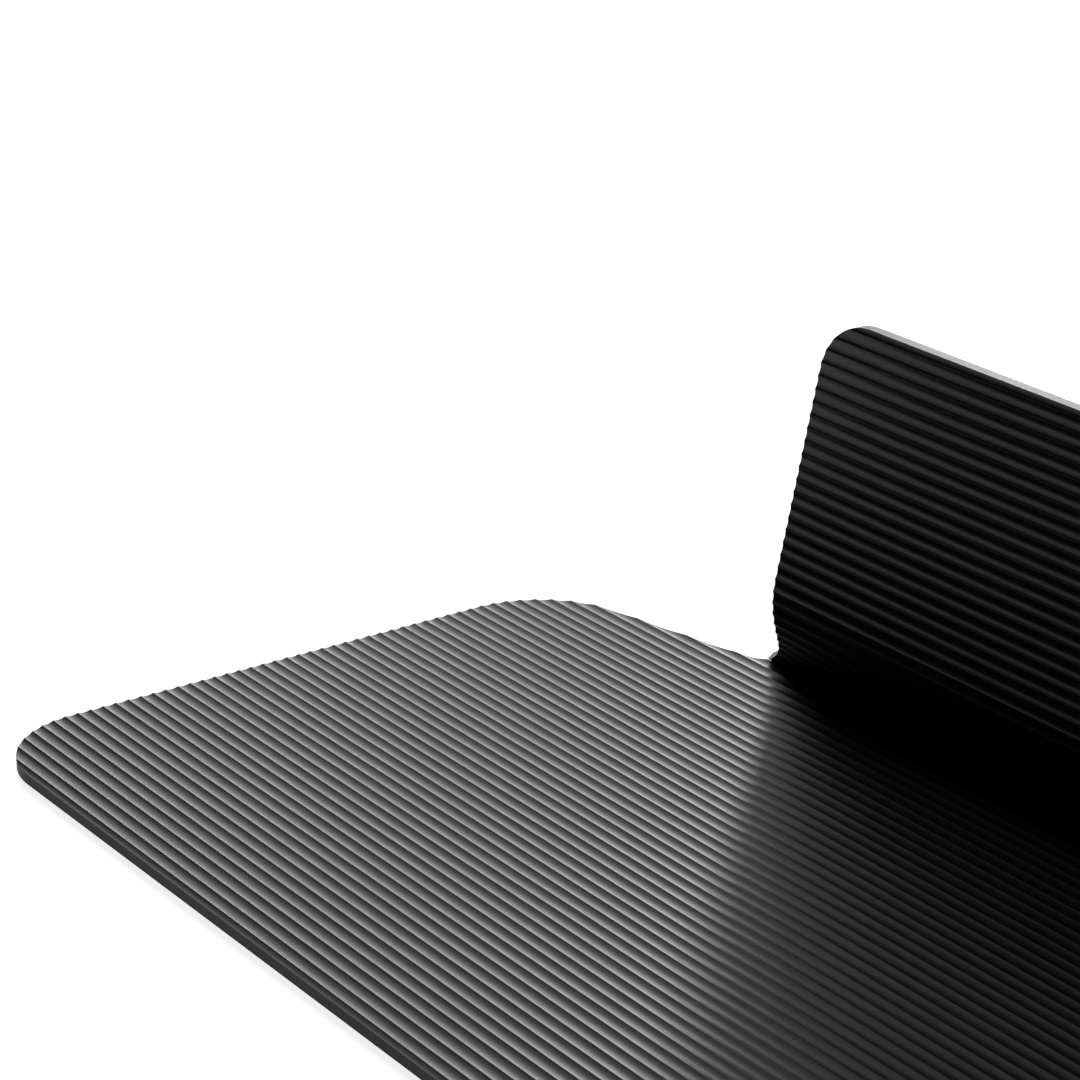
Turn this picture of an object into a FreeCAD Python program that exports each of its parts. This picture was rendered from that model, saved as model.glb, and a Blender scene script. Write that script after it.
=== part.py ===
import FreeCAD, Part
import math
import os

# Folding slant board: a wide fluted platform plate and a narrower fluted back panel, hinged along the
# crease where their fluted faces meet. Lengths are in millimetres and angles in degrees.
#
# Directions: X along the hinge, Y from the front edge to the hinge, Z up.
# The plates are first laid out from the middle of the platform's front edge. place_on_floor() then moves
# every piece so that the origin is under the middle of the whole board, on the floor.

# ---- flutes and plates -------------------------------------------------------------------------
RIB_PITCH = 6.0
RIB_DEPTH = 0.57
PLATE_THICKNESS = 5.1
EDGE_BREAK = 0.5

# ---- outline of the platform -------------------------------------------------------------------
PLATFORM_WIDTH = 600.0
PLATFORM_RIBS = 52
PLATFORM_SIDE = 285.6
SHOULDER_ANGLE = 12.0
FRONT_CORNER_RADIUS = 42.0
REAR_CORNER_RADIUS = 48.0

# ---- outline and bend of the back panel --------------------------------------------------------
PANEL_RIBS = 31
PANEL_ROOT_WIDTH = 310.0
PANEL_TAPER = 14.9
PANEL_CORNER_RADIUS = 32.0
NECK_RADIUS = 66.0
FLANGE_LENGTH = 25.2
BEND_RADIUS = 60.6
BEND_ANGLE = 36.0
SIDE_SPANS = 8

# ---- hinge -------------------------------------------------------------------------------------
MITRE_GAP = 0.1
LEAF_THICKNESS = 1.2
LEAF_WIDTH = 27.0
LEAF_CRANK = 9.0
LEAF_FIT = 0.15
KNUCKLE_RADIUS = 3.2
KNUCKLE_CLEARANCE = 0.3
KNUCKLE_COUNT = 5
KNUCKLE_LENGTH = 57.0
KNUCKLE_GAP = 0.15
NOSE_LAND = 1.0
PIN_RADIUS = 1.5
RUNNING_CLEARANCE = 0.05
SLEEVE_WALL = 0.7
SLEEVE_SLIT = 0.8
CAP_THICKNESS = 1.2
CAP_STUB = 2.0
LOCK_RADIUS = 1.0

# ---- countersunk screws of the leaves ----------------------------------------------------------
LEAF_SCREW_RADIUS = 2.1
LEAF_SCREW_HEAD_RADIUS = 3.4
LEAF_SCREW_GRIP = 2.2
LEAF_SCREW_SETBACK = 18.0
LEAF_SCREW_COUNT = 3
LEAF_SCREW_PITCH = 110.0

# ---- feet and grip strips ----------------------------------------------------------------------
FOOT_HEIGHT = 3.5
FOOT_RADIUS = 11.0
FOOT_RECESS_RADIUS = 4.4
FOOT_RECESS_DEPTH = 2.4
WASHER_RADIUS = 4.0
WASHER_THICKNESS = 0.6
SCREW_RADIUS = 1.5
SCREW_HEAD_RADIUS = 2.8
SCREW_HEAD_HEIGHT = 1.4
SCREW_GRIP = 3.0
FOOT_SIDE_INSET = 54.0
FOOT_REAR_INSET = 24.0
STRIP_WIDTH = 10.0
STRIP_GROOVE_WIDTH = 2.0
STRIP_GROOVE_DEPTH = 0.8
STRIP_END_INSET = 60.0
FRONT_STRIP_SETBACK = 4.0
MIDDLE_STRIP_SETBACK = 150.0
TIP_STRIP_SETBACK = 2.0
TIP_STRIP_WIDTH = 8.0
TIP_STRIP_HEIGHT = 2.0
TIP_STRIP_SLANT = 1.0
TIP_STRIP_END_INSET = 30.0

# ---- places that follow from the sizes ---------------------------------------------------------
HALF_THICKNESS = PLATE_THICKNESS / 2
HALF_PITCH = RIB_PITCH / 2
FLUTE_RADIUS = (HALF_PITCH ** 2 + RIB_DEPTH ** 2) / (2 * RIB_DEPTH)

PLATE_BOTTOM = FOOT_HEIGHT
PLATE_TOP = PLATE_BOTTOM + PLATE_THICKNESS
CREASE_Y = HALF_PITCH + PLATFORM_RIBS * RIB_PITCH
PANEL_LENGTH = PANEL_RIBS * RIB_PITCH

# The panel's flange stands CREASE_ANGLE above the platform, and the mitre halves that angle.
CREASE_ANGLE = 90.0 - BEND_ANGLE
MITRE_ANGLE = CREASE_ANGLE / 2
MITRE_SETBACK = HALF_THICKNESS / math.tan(math.radians(MITRE_ANGLE))
AXIS_Y = CREASE_Y + MITRE_SETBACK
AXIS_Z = PLATE_TOP - HALF_THICKNESS

BEND_LENGTH = BEND_RADIUS * math.radians(BEND_ANGLE)

HINGE_LENGTH = KNUCKLE_COUNT * KNUCKLE_LENGTH
NOSE_SETBACK = KNUCKLE_RADIUS + KNUCKLE_CLEARANCE
NOSE_REACH = MITRE_SETBACK - NOSE_LAND
LEAF_EDGE = KNUCKLE_RADIUS + 2 * KNUCKLE_CLEARANCE
SLEEVE_OUTER_RADIUS = PIN_RADIUS + RUNNING_CLEARANCE + SLEEVE_WALL
OVERALL_DEPTH = AXIS_Y + KNUCKLE_RADIUS


# ---- small helpers -----------------------------------------------------------------------------
def vector(x, y, z):
    return FreeCAD.Vector(x, y, z)


def unit(angle):
    """Direction in the YZ plane, measured from +Y towards +Z."""
    return math.cos(math.radians(angle)), math.sin(math.radians(angle))


def line(start, end):
    return Part.LineSegment(start, end).toShape()


def arc(start, middle, end):
    return Part.Arc(start, middle, end).toShape()


def polyline(points):
    return [line(a, b) for a, b in zip(points, points[1:])]


def prism(edges, travel):
    """Closes the edges into a face and extrudes it along travel."""
    wire = Part.Wire(Part.__sortEdges__(edges))
    return Part.Face(wire).extrude(travel)


def bar(edges, length):
    """A bar of constant YZ section, centred on X = 0. Its section is drawn at X = 0."""
    solid = prism(edges, vector(length, 0, 0))
    solid.translate(vector(-length / 2, 0, 0))
    return solid


def tangent_arc(before, corner, after, radius):
    """Start, middle and end of the arc that rounds a corner between two XY points."""
    to_before = (before - corner).normalize()
    to_after = (after - corner).normalize()
    half_angle = to_before.getAngle(to_after) / 2
    reach = radius / math.tan(half_angle)
    nearest = radius / math.sin(half_angle) - radius
    bisector = (to_before + to_after).normalize()
    return corner + to_before * reach, corner + bisector * nearest, corner + to_after * reach


def rounded_outline(corners):
    """Edges of a closed XY polygon whose corners (point, radius) are rounded by tangent arcs."""
    points = [point for point, _ in corners]
    count = len(points)
    arcs = []
    for index, (point, radius) in enumerate(corners):
        arcs.append(tangent_arc(points[index - 1], point, points[(index + 1) % count], radius))
    edges = [arc(*points) for points in arcs]
    for index, (_, _, end) in enumerate(arcs):
        edges.append(line(end, arcs[(index + 1) % count][0]))
    return edges


def mirrored(edges):
    """The same edges on the other side of X = 0."""
    return [edge.mirror(vector(0, 0, 0), vector(1, 0, 0)) for edge in edges]


def place_on_floor(shape):
    """Moves a piece so that the origin lies under the middle of the board."""
    moved = shape.copy()
    moved.translate(vector(0, -OVERALL_DEPTH / 2, 0))
    return moved


# ---- the board laid out flat -------------------------------------------------------------------
def right_side_corners():
    """Corners of the right half of both plates, unfolded about the crease, with their radii."""
    half = PLATFORM_WIDTH / 2
    taper = math.tan(math.radians(PANEL_TAPER))
    slope = math.tan(math.radians(SHOULDER_ANGLE))
    root = PANEL_ROOT_WIDTH / 2
    # The neck's sharp corner is where the shoulder's slope meets the taper of the panel's side.
    neck_x = (root + taper * (CREASE_Y - PLATFORM_SIDE - slope * half)) / (1 - taper * slope)
    neck_y = PLATFORM_SIDE + slope * (half - neck_x)
    return [
        (vector(half, 0, 0), FRONT_CORNER_RADIUS),
        (vector(half, PLATFORM_SIDE, 0), REAR_CORNER_RADIUS),
        (vector(neck_x, neck_y, 0), NECK_RADIUS),
        (vector(root - taper * PANEL_LENGTH, CREASE_Y + PANEL_LENGTH, 0), PANEL_CORNER_RADIUS),
    ]


def flat_outline():
    """Outline of both plates unfolded about the crease."""
    right = right_side_corners()
    left = [(vector(-point.x, point.y, 0), radius) for point, radius in reversed(right)]
    return rounded_outline(right + left)


def flute_depth(offset):
    """Depth of a flute below its crests, at a distance from the flute's own middle."""
    return RIB_DEPTH - FLUTE_RADIUS + math.sqrt(FLUTE_RADIUS ** 2 - offset ** 2)


def fluted_edges(surface, first, last):
    """Arcs of the flutes along a fluted face, from one length along it to another.

    surface(length, depth) is the point at that length along the face and that depth below its
    crests. The first crest is half a pitch from length 0 and the next ones a pitch apart.
    """
    stops = [first]
    crest = HALF_PITCH
    while crest < last:
        stops.append(crest)
        crest += RIB_PITCH
    stops.append(last)
    edges = []
    for start, end in zip(stops, stops[1:]):
        middle = (start + end) / 2
        valley = round(middle / RIB_PITCH) * RIB_PITCH
        edges.append(arc(*[surface(at, flute_depth(at - valley)) for at in (start, middle, end)]))
    return edges


# ---- the two faces and the plane of the hinge --------------------------------------------------
def platform_surface(length, depth):
    """Point of the platform's section at a length from its front edge."""
    return vector(0, length, PLATE_TOP - depth)


def panel_surface(length, depth):
    """Point of the panel's section at a length from the crease: flange, bend, upright."""
    flange_y, flange_z = unit(180 - CREASE_ANGLE)
    front_y, front_z = unit(270 - CREASE_ANGLE)
    if length <= FLANGE_LENGTH:
        y = CREASE_Y + length * flange_y - depth * front_y
        z = PLATE_TOP + length * flange_z - depth * front_z
        return vector(0, y, z)
    centre_y = CREASE_Y + FLANGE_LENGTH * flange_y - BEND_RADIUS * front_y
    centre_z = PLATE_TOP + FLANGE_LENGTH * flange_z - BEND_RADIUS * front_z
    turned = math.degrees((length - FLANGE_LENGTH) / BEND_RADIUS)
    if turned <= BEND_ANGLE:
        out_y, out_z = unit(270 - CREASE_ANGLE - turned)
        reach = BEND_RADIUS - depth
        return vector(0, centre_y + reach * out_y, centre_z + reach * out_z)
    rise = length - FLANGE_LENGTH - BEND_LENGTH
    return vector(0, centre_y - BEND_RADIUS + depth, centre_z + rise)


def platform_place(setback, height, x=0.0):
    """Hinge coordinates on the platform: setback from the axis, height towards the fluted face."""
    return vector(x, AXIS_Y - setback, AXIS_Z + height)


def panel_place(setback, height, x=0.0):
    """The same hinge coordinates on the panel's flange."""
    along_y, along_z = unit(180 - CREASE_ANGLE)
    out_y, out_z = unit(270 - CREASE_ANGLE)
    y = AXIS_Y + setback * along_y + height * out_y
    z = AXIS_Z + setback * along_z + height * out_z
    return vector(x, y, z)


# ---- plates ------------------------------------------------------------------------------------
def bevelled_root(place):
    """Underside of a plate's root beyond the hinge's ends: a narrow land, then a bevel."""
    bevel = HALF_THICKNESS / LEAF_CRANK
    return [
        place(NOSE_LAND, HALF_THICKNESS - RIB_DEPTH),
        place(NOSE_LAND, -NOSE_LAND * bevel),
        place(LEAF_CRANK, -HALF_THICKNESS),
    ]


def hinge_pocket(place):
    """Space let into a plate's root for the knuckles, their end caps and the cranked leaf."""
    ceiling = LEAF_THICKNESS - HALF_THICKNESS
    half_leaf = LEAF_THICKNESS / 2
    wall = LEAF_WIDTH + LEAF_FIT
    beyond = PLATE_THICKNESS
    corners = [
        place(NOSE_SETBACK, beyond),
        place(NOSE_SETBACK, half_leaf),
        place(LEAF_EDGE, half_leaf),
        place(LEAF_CRANK, ceiling),
        place(wall, ceiling),
        place(wall, -beyond),
        place(-beyond, -beyond),
        place(-beyond, beyond),
    ]
    length = HINGE_LENGTH + 2 * (CAP_THICKNESS + KNUCKLE_CLEARANCE)
    return bar(polyline(corners + corners[:1]), length)


def mitre_wedge(place):
    """The space beyond a plate's mitre, up to the plane that halves the angle between the plates."""
    slope = math.tan(math.radians(MITRE_ANGLE))
    offset = MITRE_GAP / math.sin(math.radians(MITRE_ANGLE))
    reach = 2 * PLATE_THICKNESS
    corners = [
        place(offset, 0),
        place(offset + reach / slope, reach),
        place(-reach, reach),
        place(-reach, 0),
    ]
    return bar(polyline(corners + corners[:1]), PLATFORM_WIDTH)


def platform_plate():
    """Fluted plate that lies on the floor, with the hinge's leaf let into its underside."""
    top = fluted_edges(platform_surface, 0, CREASE_Y + NOSE_REACH)
    root = bevelled_root(platform_place)
    front_top = platform_surface(0, flute_depth(0))
    front_bottom = platform_surface(0, PLATE_THICKNESS)
    nose_top = top[-1].Vertexes[-1].Point
    section = top + polyline([nose_top] + root + [front_bottom, front_top])
    plate = bar(section, PLATFORM_WIDTH)
    outline = prism(flat_outline(), vector(0, 0, PLATE_TOP))
    outline.translate(vector(0, 0, PLATE_BOTTOM))
    lower_edges = [edge for edge in outline.Edges if edge.BoundBox.ZMax < PLATE_BOTTOM + 0.1]
    outline = outline.makeChamfer(EDGE_BREAK, lower_edges)
    plate = plate.common(outline).cut(mitre_wedge(platform_place)).cut(hinge_pocket(platform_place))
    for tool in leaf_screws(platform_place) + foot_screws():
        plate = plate.cut(tool)
    return plate


def panel_side():
    """Right side of the panel seen from the front, from below its root up to the top edge."""
    shoulder, neck, top = [point for point, _ in right_side_corners()[1:]]
    _, _, neck_end = tangent_arc(shoulder, neck, top, NECK_RADIUS)
    inward = (neck - top).normalize().cross(vector(0, 0, 1))
    centre = neck_end + inward * (NECK_RADIUS if inward.x > 0 else -NECK_RADIUS)
    taper = math.tan(math.radians(PANEL_TAPER))
    bend_end = FLANGE_LENGTH + BEND_LENGTH

    def half_width(length):
        rise = CREASE_Y + length
        if rise < neck_end.y:
            return centre.x - math.sqrt(NECK_RADIUS ** 2 - (rise - centre.y) ** 2)
        return neck_end.x - taper * (rise - neck_end.y)

    def front_view(length):
        return vector(half_width(length), 0, panel_surface(length, 0).z)

    curve = Part.BSplineCurve()
    curve.interpolate([front_view(bend_end * step / SIDE_SPANS) for step in range(SIDE_SPANS + 1)])
    foot = front_view(0)
    below = vector(foot.x, 0, 0)
    shift = panel_surface(bend_end, 0).z - bend_end - CREASE_Y
    corner = vector(top.x, 0, top.y + shift)
    top_middle = vector(0, 0, corner.z)
    start, middle, end = tangent_arc(front_view(bend_end), corner, top_middle, PANEL_CORNER_RADIUS)
    upright = line(front_view(bend_end), start)
    return [line(below, foot), curve.toShape(), upright, arc(start, middle, end)], below, end


def back_panel():
    """Fluted plate bent up from the hinge: flange, large bend and tapering upright."""
    front = fluted_edges(panel_surface, -NOSE_REACH, PANEL_LENGTH)
    bend_end = FLANGE_LENGTH + BEND_LENGTH
    back = [panel_surface(length, PLATE_THICKNESS) for length in
            (FLANGE_LENGTH, (FLANGE_LENGTH + bend_end) / 2, bend_end, PANEL_LENGTH)]
    root = bevelled_root(panel_place)
    nose = front[0].Vertexes[0].Point
    tip = front[-1].Vertexes[-1].Point
    section = front + polyline([nose] + root + [back[0]])
    section += [arc(*back[:3])] + polyline([back[2], back[3], tip])
    plate = bar(section, PLATFORM_WIDTH)

    side, below, end = panel_side()
    outline = side + mirrored(side)
    outline += [line(end, vector(-end.x, 0, end.z)), line(below, vector(-below.x, 0, below.z))]
    plate = plate.common(prism(outline, vector(0, 2 * OVERALL_DEPTH, 0)))
    plate = plate.cut(mitre_wedge(panel_place)).cut(hinge_pocket(panel_place))
    for tool in leaf_screws(panel_place):
        plate = plate.cut(tool)
    return plate


# ---- hinge -------------------------------------------------------------------------------------
def knuckle_span(index):
    """X of a knuckle's two ends."""
    start = index * KNUCKLE_LENGTH - HINGE_LENGTH / 2
    return start + KNUCKLE_GAP, start + KNUCKLE_LENGTH - KNUCKLE_GAP


def along_hinge(radius, start, end):
    """Cylinder on the hinge's axis between two X."""
    return Part.makeCylinder(radius, end - start, vector(start, AXIS_Y, AXIS_Z), vector(1, 0, 0))


def hinge_leaf(place, indices):
    """Cranked steel leaf with the knuckles of the given indices."""
    half_leaf = LEAF_THICKNESS / 2
    ceiling = LEAF_THICKNESS - HALF_THICKNESS
    section = [
        place(LEAF_EDGE, half_leaf),
        place(LEAF_CRANK, ceiling),
        place(LEAF_WIDTH, ceiling),
        place(LEAF_WIDTH, -HALF_THICKNESS),
        place(LEAF_CRANK, -HALF_THICKNESS),
        place(LEAF_EDGE, -half_leaf),
    ]
    leaf = bar(polyline(section + section[:1]), HINGE_LENGTH - 2 * KNUCKLE_GAP)
    bores = []
    for index in indices:
        start, end = knuckle_span(index)
        web = [
            place(0, half_leaf, start),
            place(LEAF_EDGE, half_leaf, start),
            place(LEAF_EDGE, -half_leaf, start),
            place(0, -half_leaf, start),
        ]
        leaf = leaf.fuse(prism(polyline(web + web[:1]), vector(end - start, 0, 0)))
        leaf = leaf.fuse(along_hinge(KNUCKLE_RADIUS, start, end))
        at_end = index in (0, KNUCKLE_COUNT - 1)
        bore = SLEEVE_OUTER_RADIUS if at_end else PIN_RADIUS + RUNNING_CLEARANCE
        bores.append(along_hinge(bore, start, end))
    for tool in bores + leaf_screws(place):
        leaf = leaf.cut(tool)
    return leaf.removeSplitter()


def platform_hinge_leaf():
    return hinge_leaf(platform_place, range(0, KNUCKLE_COUNT, 2))


def panel_hinge_leaf():
    leaf = hinge_leaf(panel_place, range(1, KNUCKLE_COUNT, 2))
    for side in (-1, 1):
        leaf = leaf.cut(pin_lock(side))
    return leaf


def leaf_screws(place):
    """Countersunk screws in a row through a leaf into its plate."""
    solids = []
    for index in range(LEAF_SCREW_COUNT):
        x = (index - (LEAF_SCREW_COUNT - 1) / 2) * LEAF_SCREW_PITCH
        base = place(LEAF_SCREW_SETBACK, -HALF_THICKNESS, x)
        inward = (place(LEAF_SCREW_SETBACK, 0, x) - base).normalize()
        length = LEAF_THICKNESS + LEAF_SCREW_GRIP
        shank = Part.makeCylinder(LEAF_SCREW_RADIUS, length, base, inward)
        head = Part.makeCone(LEAF_SCREW_HEAD_RADIUS, LEAF_SCREW_RADIUS, LEAF_THICKNESS, base, inward)
        solids.append(shank.fuse(head).removeSplitter())
    return solids


def hinge_pin():
    """Pin through all the knuckles. Its ends stop short of the end caps' stubs."""
    reach = HINGE_LENGTH / 2 - KNUCKLE_GAP - CAP_STUB - KNUCKLE_CLEARANCE
    return along_hinge(PIN_RADIUS, -reach, reach)


def pin_lock(side):
    """Grub screw through one wall of the panel's outermost knuckle, tight against the hinge pin."""
    start, end = knuckle_span(1)
    x = side * (start + end) / 2
    # The outer end stops where its rim would come out of the knuckle's round wall.
    flush = math.sqrt(KNUCKLE_RADIUS ** 2 - LOCK_RADIUS ** 2)
    outer = panel_place(0, -flush, x)
    inner = panel_place(0, -PIN_RADIUS, x)
    return Part.makeCylinder(LOCK_RADIUS, flush - PIN_RADIUS, outer, inner - outer)


def friction_sleeve(side):
    """Slit spring sleeve held by the platform's end knuckle and gripping the pin."""
    outer = HINGE_LENGTH / 2 - KNUCKLE_GAP - CAP_STUB
    inner = HINGE_LENGTH / 2 - KNUCKLE_LENGTH + KNUCKLE_GAP
    start, end = sorted((side * inner, side * outer))
    sleeve = along_hinge(SLEEVE_OUTER_RADIUS, start, end)
    sleeve = sleeve.cut(along_hinge(PIN_RADIUS + RUNNING_CLEARANCE, start, end))
    corner = vector(start, AXIS_Y - SLEEVE_SLIT / 2, AXIS_Z)
    return sleeve.cut(Part.makeBox(end - start, SLEEVE_SLIT, 2 * SLEEVE_OUTER_RADIUS, corner))


def hinge_end_cap(side):
    """Plug that closes the platform's end knuckle."""
    face = HINGE_LENGTH / 2 - KNUCKLE_GAP
    stub = along_hinge(SLEEVE_OUTER_RADIUS, *sorted((side * (face - CAP_STUB), side * face)))
    disc = along_hinge(KNUCKLE_RADIUS, *sorted((side * face, side * (face + CAP_THICKNESS))))
    return stub.fuse(disc).removeSplitter()


# ---- feet and grip strips ----------------------------------------------------------------------
def foot_places():
    """Name and place of each foot."""
    x = PLATFORM_WIDTH / 2 - FOOT_SIDE_INSET
    y = PLATFORM_SIDE - FOOT_REAR_INSET
    return {"foot_left": (-x, y), "foot_right": (x, y)}


def foot(x, y):
    """Rubber foot with a recess for its washer and screw."""
    rubber = Part.makeCylinder(FOOT_RADIUS, FOOT_HEIGHT, vector(x, y, 0))
    rubber = rubber.cut(Part.makeCylinder(FOOT_RECESS_RADIUS, FOOT_RECESS_DEPTH, vector(x, y, 0)))
    return rubber.cut(Part.makeCylinder(SCREW_RADIUS, FOOT_HEIGHT, vector(x, y, 0)))


def foot_washers():
    """Steel washers on the seats of the feet's recesses."""
    solids = []
    for x, y in foot_places().values():
        base = vector(x, y, FOOT_RECESS_DEPTH - WASHER_THICKNESS)
        washer = Part.makeCylinder(WASHER_RADIUS, WASHER_THICKNESS, base)
        solids.append(washer.cut(Part.makeCylinder(SCREW_RADIUS, WASHER_THICKNESS, base)))
    return solids


def foot_screws():
    """Screws up through the feet into the platform."""
    solids = []
    for x, y in foot_places().values():
        seat = FOOT_RECESS_DEPTH - WASHER_THICKNESS
        underside = vector(x, y, seat - SCREW_HEAD_HEIGHT)
        head = Part.makeCylinder(SCREW_HEAD_RADIUS, SCREW_HEAD_HEIGHT, underside)
        shank = Part.makeCylinder(SCREW_RADIUS, PLATE_BOTTOM + SCREW_GRIP - seat, vector(x, y, seat))
        solids.append(head.fuse(shank).removeSplitter())
    return solids


def grip_strip(setback):
    """Rubber strip with two grooves, bonded under the platform parallel to its front edge."""
    back = setback + STRIP_WIDTH
    rib = (STRIP_WIDTH - 2 * STRIP_GROOVE_WIDTH) / 3
    points = [vector(0, setback, FOOT_HEIGHT), vector(0, setback, 0)]
    for near in (setback + rib, back - rib - STRIP_GROOVE_WIDTH):
        far = near + STRIP_GROOVE_WIDTH
        points += [vector(0, near, 0), vector(0, near, STRIP_GROOVE_DEPTH)]
        points += [vector(0, far, STRIP_GROOVE_DEPTH), vector(0, far, 0)]
    points += [vector(0, back, 0), vector(0, back, FOOT_HEIGHT)]
    return bar(polyline(points + points[:1]), PLATFORM_WIDTH - 2 * STRIP_END_INSET)


def tip_grip_strip():
    """Rubber strip bonded to the panel's back beside its top edge."""
    upper = panel_surface(PANEL_LENGTH - TIP_STRIP_SETBACK, PLATE_THICKNESS)
    lower = panel_surface(PANEL_LENGTH - TIP_STRIP_SETBACK - TIP_STRIP_WIDTH, PLATE_THICKNESS)
    out = vector(0, TIP_STRIP_HEIGHT, 0)
    slant = vector(0, 0, TIP_STRIP_SLANT)
    points = [lower, lower + out + slant, upper + out, upper]
    top_half_width = PANEL_ROOT_WIDTH / 2 - math.tan(math.radians(PANEL_TAPER)) * PANEL_LENGTH
    return bar(polyline(points + points[:1]), 2 * (top_half_width - TIP_STRIP_END_INSET))


# ---- export ------------------------------------------------------------------------------------
def pieces():
    """Every node's solid, or its group of separate solids."""
    nodes = {
        "platform_plate": platform_plate(),
        "platform_hinge_leaf": platform_hinge_leaf(),
        "platform_leaf_screws": Part.makeCompound(leaf_screws(platform_place)),
        "friction_sleeve_left": friction_sleeve(-1),
        "friction_sleeve_right": friction_sleeve(1),
        "hinge_end_cap_left": hinge_end_cap(-1),
        "hinge_end_cap_right": hinge_end_cap(1),
        "front_grip_strip": grip_strip(FRONT_STRIP_SETBACK),
        "middle_grip_strip": grip_strip(MIDDLE_STRIP_SETBACK),
        "foot_washers": Part.makeCompound(foot_washers()),
        "foot_screws": Part.makeCompound(foot_screws()),
        "back_panel": back_panel(),
        "panel_hinge_leaf": panel_hinge_leaf(),
        "panel_leaf_screws": Part.makeCompound(leaf_screws(panel_place)),
        "hinge_pin": hinge_pin(),
        "pin_lock_left": pin_lock(-1),
        "pin_lock_right": pin_lock(1),
        "tip_grip_strip": tip_grip_strip(),
    }
    for name, (x, y) in foot_places().items():
        nodes[name] = foot(x, y)
    return nodes


def export():
    os.makedirs("parts", exist_ok=True)
    for name, shape in pieces().items():
        placed = place_on_floor(shape)
        placed.exportStep("parts/" + name + ".step")
        print(name, len(placed.Solids), placed.isValid(), round(placed.Volume, 1))


export()
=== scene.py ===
"""Looks of a folding slant board: fluted black plates, a concealed steel hinge and rubber supports.

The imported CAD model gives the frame, and every piece here stands where that frame says. Lengths are in
metres and angles in degrees. +X runs along the hinge, +Y from the front edge to the hinge and +Z up.
"""

import logging
import math
from dataclasses import dataclass, field, replace
from enum import Enum

import bmesh
import bpy
from bmesh.types import BMEdge, BMesh, BMVert
from bpy.types import Material, Node, NodeTree, Object
from mathutils import Matrix, Vector


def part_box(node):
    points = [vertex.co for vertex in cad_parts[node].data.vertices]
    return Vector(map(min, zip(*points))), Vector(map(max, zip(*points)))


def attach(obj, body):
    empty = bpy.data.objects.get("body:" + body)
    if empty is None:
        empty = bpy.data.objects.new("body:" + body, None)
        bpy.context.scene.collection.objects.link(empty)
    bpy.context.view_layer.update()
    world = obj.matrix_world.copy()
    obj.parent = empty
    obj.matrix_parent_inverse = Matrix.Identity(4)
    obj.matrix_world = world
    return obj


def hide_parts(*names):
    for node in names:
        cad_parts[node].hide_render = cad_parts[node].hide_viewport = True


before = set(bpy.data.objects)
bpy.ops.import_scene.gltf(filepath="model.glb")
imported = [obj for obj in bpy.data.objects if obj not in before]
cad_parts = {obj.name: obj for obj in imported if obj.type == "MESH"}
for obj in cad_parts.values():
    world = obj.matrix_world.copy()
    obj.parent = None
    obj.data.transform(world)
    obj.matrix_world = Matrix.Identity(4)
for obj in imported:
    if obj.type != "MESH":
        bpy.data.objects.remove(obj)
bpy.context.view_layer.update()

LOG = logging.getLogger("slant_board")
MM = 0.001
MERGE_DISTANCE = 1e-7
X_AXIS = Vector((1, 0, 0))
Z_AXIS = Vector((0, 0, 1))


# ---- shared steps ----
def to_object(mesh: BMesh, name: str) -> Object:
    """Turns a finished bmesh into an object of the scene.

    Args:
        mesh: The bmesh, which is freed.
        name: The object's name.

    Returns:
        The object.
    """
    data = bpy.data.meshes.new(name)
    mesh.to_mesh(data)
    mesh.free()
    piece = bpy.data.objects.new(name, data)
    bpy.context.scene.collection.objects.link(piece)
    return piece


def extrude_section(mesh: BMesh, section: list[tuple[float, float]], length: float) -> None:
    """Extrudes a section in Y and Z along X, with its middle at the origin.

    Args:
        mesh: The mesh that gets the bar.
        section: Corners of the section in order.
        length: The bar's length.
    """
    ring = [mesh.verts.new((-length / 2, y, z)) for y, z in section]
    rim = [mesh.edges.new((ring[index - 1], vertex)) for index, vertex in enumerate(ring)]
    face = bmesh.ops.contextual_create(mesh, geom=rim)["faces"]
    made = bmesh.ops.extrude_face_region(mesh, geom=face, use_keep_orig=True)["geom"]
    far = [part for part in made if isinstance(part, BMVert)]
    bmesh.ops.translate(mesh, verts=far, vec=(length, 0, 0))


def round_edges(mesh: BMesh, edges: list[BMEdge], width: float, steps: int) -> None:
    """Rounds edges with a narrow bevel.

    Args:
        mesh: The mesh.
        edges: The edges to round.
        width: The bevel's width.
        steps: Number of the bevel's segments.
    """
    bmesh.ops.bevel(
        mesh,
        geom=edges,
        offset=width,
        offset_type="OFFSET",
        segments=steps,
        profile=0.5,
        affect="EDGES",
        clamp_overlap=True,
        material=-1,
    )


def smooth_shading(piece: Object, sharp_from: float) -> None:
    """Shades smooth up to an angle, with normals weighed by area so that bevels don't tilt faces.

    Args:
        piece: The object.
        sharp_from: The angle from which an edge stays sharp.
    """
    piece.data.shade_smooth()
    piece.data.set_sharp_from_angle(angle=math.radians(sharp_from))
    modifier = piece.modifiers.new("weighed_normals", "WEIGHTED_NORMAL")
    modifier.mode = "FACE_AREA"
    modifier.weight = 100
    modifier.keep_sharp = True


def node_middle(node: str) -> Vector:
    """Finds the middle of a CAD node's box.

    Args:
        node: The node's name.

    Returns:
        The middle.
    """
    low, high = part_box(node)
    return (low + high) / 2


def stand(base: Vector, up: Vector) -> Matrix:
    """Stands a form that is modelled along Z on a point, with its X along the hinge.

    Args:
        base: The point.
        up: Where the form's Z points.

    Returns:
        The form's matrix.
    """
    turn = Matrix((X_AXIS, up.cross(X_AXIS), up)).transposed().to_4x4()
    return Matrix.Translation(base) @ turn


# ---- finishes ----
class Effect(Enum):
    """Node groups that more than one finish uses."""

    GRAIN = "fine_grain"
    HANDLING = "handling_marks"


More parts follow.
